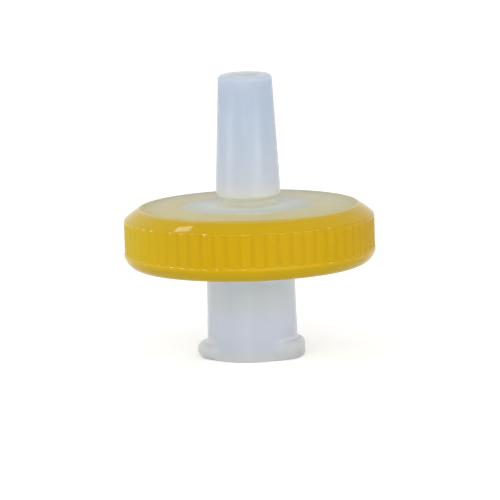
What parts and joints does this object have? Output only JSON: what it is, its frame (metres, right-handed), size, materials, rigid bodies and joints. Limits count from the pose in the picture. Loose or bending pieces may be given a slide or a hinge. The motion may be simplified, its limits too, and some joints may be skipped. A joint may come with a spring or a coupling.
{
  "type": "syringe filter",
  "caption": "Small round luer syringe filter: lugged female inlet below, plain male tip above, membrane disc between, ribbed yellow grip ring.",
  "frame": {"origin": "centre of the inlet's rim plane, the lowest point of the filter", "axes": "+Z along the filter's axis from the inlet to the outlet tip; +X and -X through the middles of the two luer lugs"},
  "size_m": [0.0184, 0.0184, 0.0208],
  "materials": {
    "natural_plastic": "milky translucent natural polypropylene, soft gloss",
    "yellow_plastic": "opaque yellow, soft gloss",
    "membrane": "matt white porous film"
  },
  "bodies": {
    "root": {"inlet_housing": "natural_plastic", "outlet_housing": "natural_plastic", "membrane": "membrane", "grip_ring": "yellow_plastic"}
  },
  "joints": []
}
